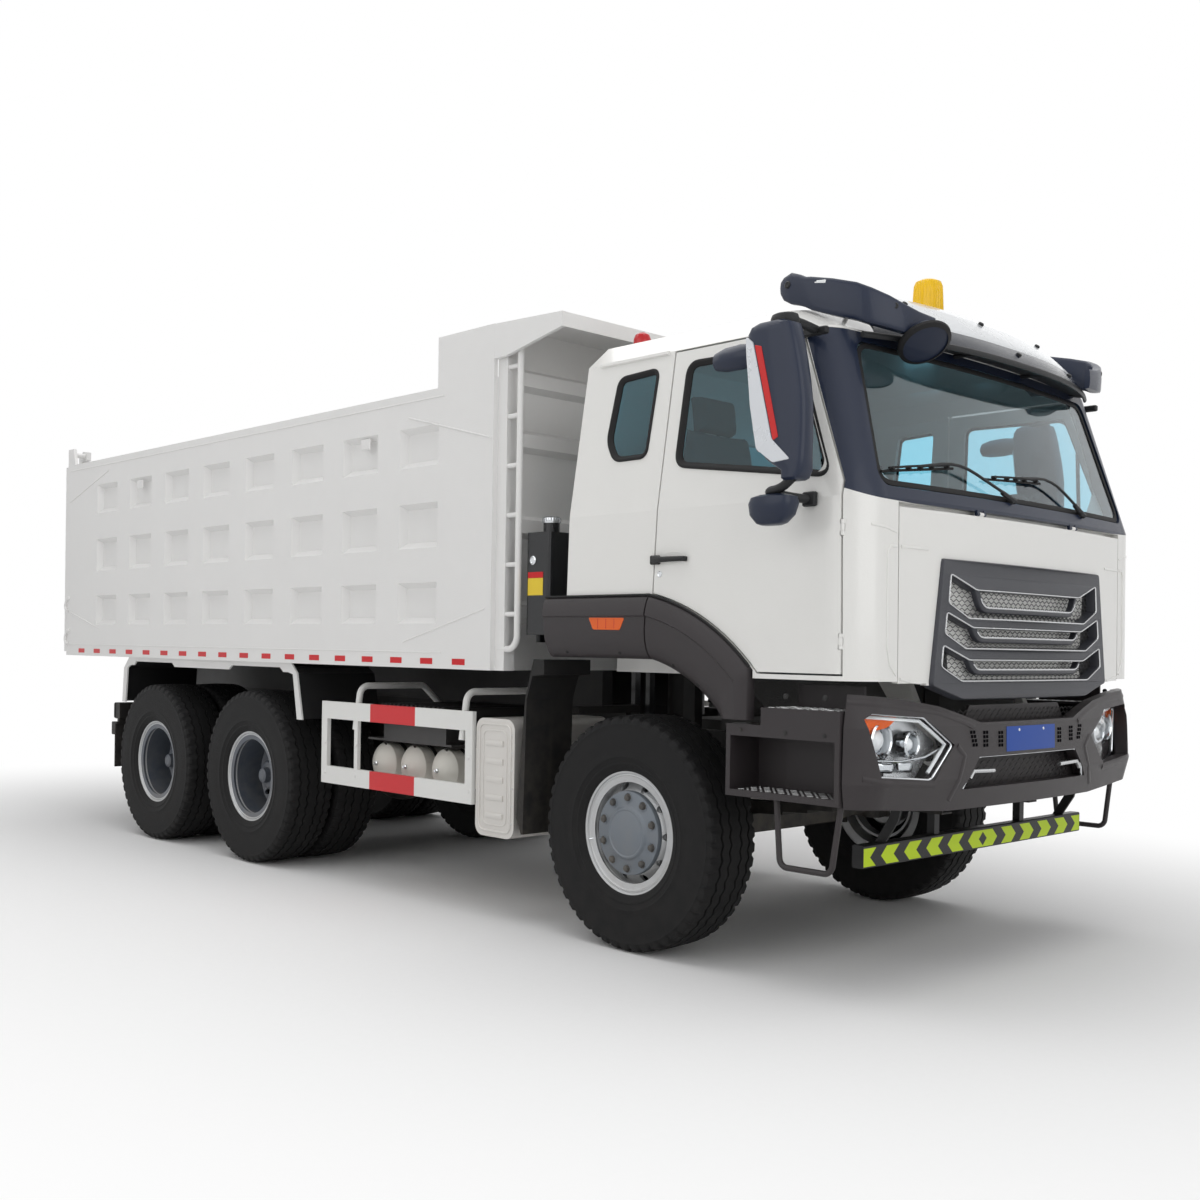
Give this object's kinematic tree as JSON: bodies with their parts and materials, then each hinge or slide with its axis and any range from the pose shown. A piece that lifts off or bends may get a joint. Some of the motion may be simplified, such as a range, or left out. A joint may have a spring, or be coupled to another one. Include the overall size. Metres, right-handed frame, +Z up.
{
  "type": "dump truck",
  "caption": "Six-by-four tipper truck with a tilting cab, opening doors and front lid, steered front wheels, twin rear wheels, and a hoisted steel body with a top-hung tailgate.",
  "frame": {"origin": "on the ground under the middle of the truck", "axes": "+X forwards, +Y to the driver's left, +Z up"},
  "size_m": [7.8577, 3, 3.219],
  "materials": {
    "white_paint": "gloss",
    "bed_white": "satin",
    "bumper_grey": "matte",
    "frame_black": "satin",
    "trim_black": "satin",
    "visor_blue": "gloss",
    "window_glass": "clear",
    "lamp_glass": "clear",
    "amber_lens": "gloss",
    "interior_grey": "matte",
    "tyre_rubber": "matte",
    "rim_silver": "satin",
    "rim_grey": "satin",
    "tank_alloy": "satin",
    "tank_black": "gloss",
    "bar_grey": "satin",
    "black_rubber": "matte",
    "hoist_chrome": "polished",
    "cast_grey": "matte"
  },
  "bodies": {
    "chassis": {"chassis_frame": "frame_black", "engine_block": "cast_grey", "axles": "frame_black", "leaf_springs": "frame_black", "bumper": "bumper_grey", "headlamps": "lamp_glass", "step_wells": "bumper_grey", "front_guard_bar": "frame_black", "fuel_tank": "tank_alloy", "silencer_boxes": "tank_alloy", "air_tanks": "frame_black", "side_guards": "white_paint", "mudflaps": "black_rubber", "rear_bar": "bar_grey", "hydraulic_tank": "tank_black"},
    "cab": {"cab_shell": "white_paint", "screen_surround": "trim_black", "cab_glass": "window_glass", "wheel_arches": "bumper_grey", "sun_visor": "visor_blue", "cab_lamps": "amber_lens", "cab_interior": "interior_grey"},
    "front_lid": {"front_flap": "white_paint", "grille": "bumper_grey"},
    "bed": {"bed_floor": "bed_white", "bed_sides": "bed_white", "bed_front": "bed_white", "bed_mudguards": "bed_white"},
    "gate": {"tailgate": "bed_white"},
    "track_rod": {"tie_rod": "frame_black"},
    "barrel": {"hoist_barrel": "tank_black"},
    "stage_1": {"hoist_stage_1": "hoist_chrome"},
    "stage_2": {"hoist_stage_2": "hoist_chrome"},
    "rod": {"hoist_rod": "hoist_chrome"},
    "door_left_leaf": {"door_left": "white_paint", "door_glass_left": "window_glass", "mirrors_left": "trim_black"},
    "steer_left": {"knuckle_left": "frame_black"},
    "front_wheel_left": {"tyre_front_left": "tyre_rubber", "wheel_front_left": "rim_silver"},
    "mid_wheels_left": {"tyres_mid_left": "tyre_rubber", "wheels_mid_left": "rim_grey"},
    "rear_wheels_left": {"tyres_rear_left": "tyre_rubber", "wheels_rear_left": "rim_grey"},
    "door_right_leaf": {"door_right": "white_paint", "door_glass_right": "window_glass", "mirrors_right": "trim_black"},
    "steer_right": {"knuckle_right": "frame_black"},
    "front_wheel_right": {"tyre_front_right": "tyre_rubber", "wheel_front_right": "rim_silver"},
    "mid_wheels_right": {"tyres_mid_right": "tyre_rubber", "wheels_mid_right": "rim_grey"},
    "rear_wheels_right": {"tyres_rear_right": "tyre_rubber", "wheels_rear_right": "rim_grey"}
  },
  "joints": [
    {"name": "cab_tilt", "type": "hinge", "parent": "chassis", "child": "cab", "pos_m": [3.7, 0, 0.98], "axis": [0, 1, 0], "range_deg": [0, 50]},
    {"name": "front_lid_lift", "type": "hinge", "parent": "cab", "child": "front_lid", "pos_m": [3.892, 0, 2.045], "axis": [0, -1, 0], "range_deg": [0, 60]},
    {"name": "bed_tilt", "type": "hinge", "parent": "chassis", "child": "bed", "pos_m": [-3.47, 0, 1.1], "axis": [0, -1, 0], "range_deg": [0, 47]},
    {"name": "tailgate_swing", "type": "hinge", "parent": "bed", "child": "gate", "pos_m": [-3.82, 0, 2.925], "axis": [0, 1, 0], "range_deg": [0, 60]},
    {"name": "hoist_pivot", "type": "hinge", "parent": "chassis", "child": "barrel", "pos_m": [1.79, 0, 0.95], "axis": [0, -1, 0], "range_deg": [0, 29.24]},
    {"name": "hoist_slide_1", "type": "slide", "parent": "barrel", "child": "stage_1", "axis": [0, 0, 1], "range_m": [0, 1.36]},
    {"name": "hoist_slide_2", "type": "slide", "parent": "stage_1", "child": "stage_2", "axis": [0, 0, 1], "range_m": [0, 1.36]},
    {"name": "hoist_slide_3", "type": "slide", "parent": "stage_2", "child": "rod", "axis": [0, 0, 1], "range_m": [0, 1.36]},
    {"name": "door_left_swing", "type": "hinge", "parent": "cab", "child": "door_left_leaf", "pos_m": [3.74, 1.217, 2], "axis": [0, 0, -1], "range_deg": [0, 70]},
    {"name": "door_right_swing", "type": "hinge", "parent": "cab", "child": "door_right_leaf", "pos_m": [3.74, -1.217, 2], "axis": [0, 0, 1], "range_deg": [0, 70]},
    {"name": "steer_right", "type": "hinge", "parent": "chassis", "child": "steer_right", "pos_m": [2.48, -0.86, 0.5625], "axis": [0, 0, 1], "range_deg": [-36, 36]},
    {"name": "spin_front_right", "type": "hinge", "parent": "steer_right", "child": "front_wheel_right", "pos_m": [2.48, -1.02, 0.5625], "axis": [0, 1, 0], "continuous": true},
    {"name": "spin_mid_right", "type": "hinge", "parent": "chassis", "child": "mid_wheels_right", "pos_m": [-0.945, -0.918, 0.5625], "axis": [0, 1, 0], "continuous": true},
    {"name": "spin_rear_right", "type": "hinge", "parent": "chassis", "child": "rear_wheels_right", "pos_m": [-2.295, -0.918, 0.5625], "axis": [0, 1, 0], "continuous": true},
    {"name": "steer_left", "type": "hinge", "parent": "chassis", "child": "steer_left", "pos_m": [2.48, 0.86, 0.5625], "axis": [0, 0, 1], "range_deg": [-36, 36]},
    {"name": "spin_front_left", "type": "hinge", "parent": "steer_left", "child": "front_wheel_left", "pos_m": [2.48, 1.02, 0.5625], "axis": [0, 1, 0], "continuous": true},
    {"name": "spin_mid_left", "type": "hinge", "parent": "chassis", "child": "mid_wheels_left", "pos_m": [-0.945, 0.918, 0.5625], "axis": [0, 1, 0], "continuous": true},
    {"name": "spin_rear_left", "type": "hinge", "parent": "chassis", "child": "rear_wheels_left", "pos_m": [-2.295, 0.918, 0.5625], "axis": [0, 1, 0], "continuous": true},
    {"name": "track_rod_pivot", "type": "hinge", "parent": "steer_right", "child": "track_rod", "pos_m": [2.27, -0.86, 0.498], "axis": [0, 0, 1], "range_deg": [-36, 36]}
  ],
  "couplings": [
    {"joint": "hoist_pivot", "follows": "bed_tilt", "ratio": 0.62113},
    {"joint": "hoist_slide_1", "follows": "bed_tilt", "m_per_rad": 1.6573},
    {"joint": "hoist_slide_2", "follows": "bed_tilt", "m_per_rad": 1.6573},
    {"joint": "hoist_slide_3", "follows": "bed_tilt", "m_per_rad": 1.6573},
    {"joint": "steer_left", "follows": "steer_right", "ratio": 1},
    {"joint": "track_rod_pivot", "follows": "steer_right", "ratio": -1}
  ]
}
